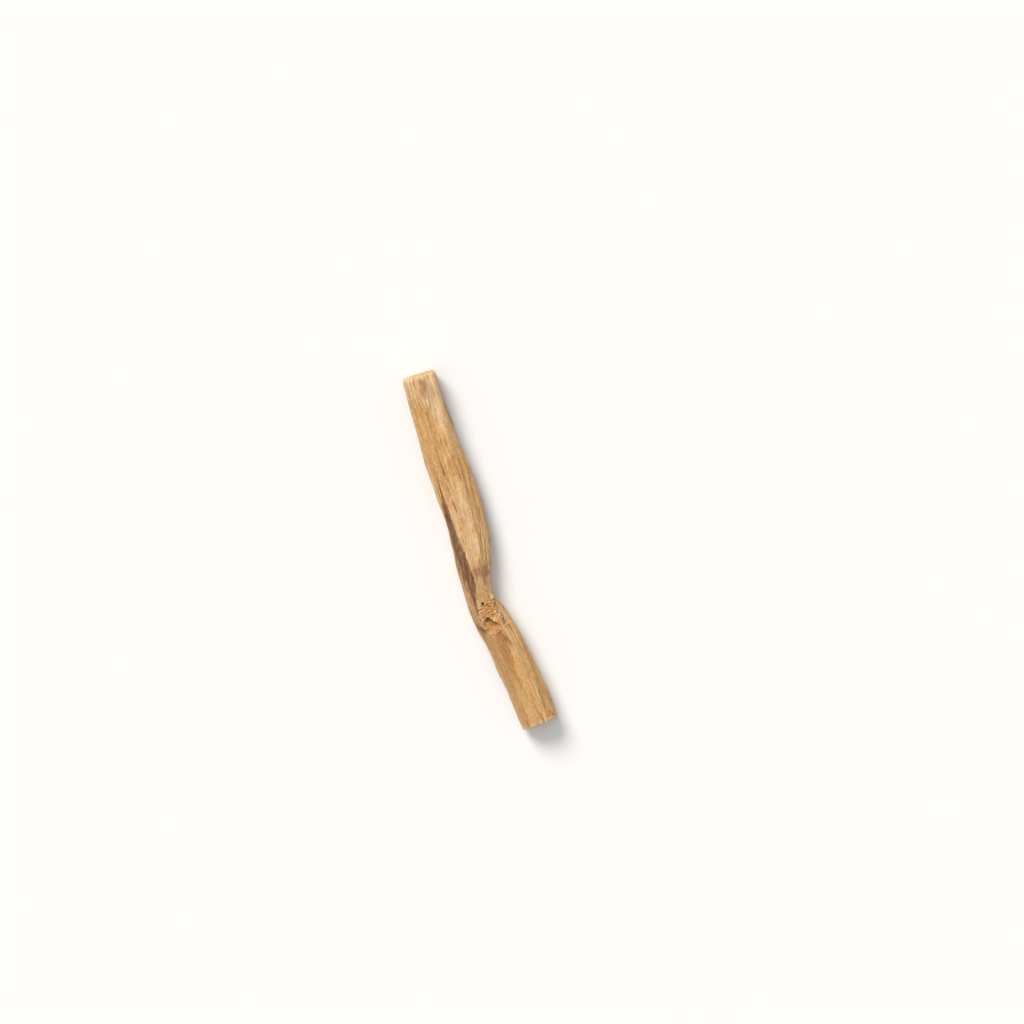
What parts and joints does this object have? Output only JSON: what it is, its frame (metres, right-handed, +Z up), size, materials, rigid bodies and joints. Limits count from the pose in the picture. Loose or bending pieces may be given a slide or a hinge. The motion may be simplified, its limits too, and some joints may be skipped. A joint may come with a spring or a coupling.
{
  "type": "palo santo wood stick",
  "caption": "Split stick of palo santo heartwood, sawn square at both ends, bowed at a torn-out knot, lying on its flattest side.",
  "frame": {"origin": "on the surface that the stick lies on, under the middle of its length and width", "axes": "+X along the grain from the torn knot's end to the plain end, +Y to the side that the stick bows towards, +Z up from the surface"},
  "size_m": [0.1008, 0.0134, 0.0098],
  "materials": {
    "palo_santo_heartwood": "raw split wood, dry and matte, with resin streaks that have a faint sheen"
  },
  "bodies": {
    "root": {"palo_santo_stick": "palo_santo_heartwood"}
  },
  "joints": []
}
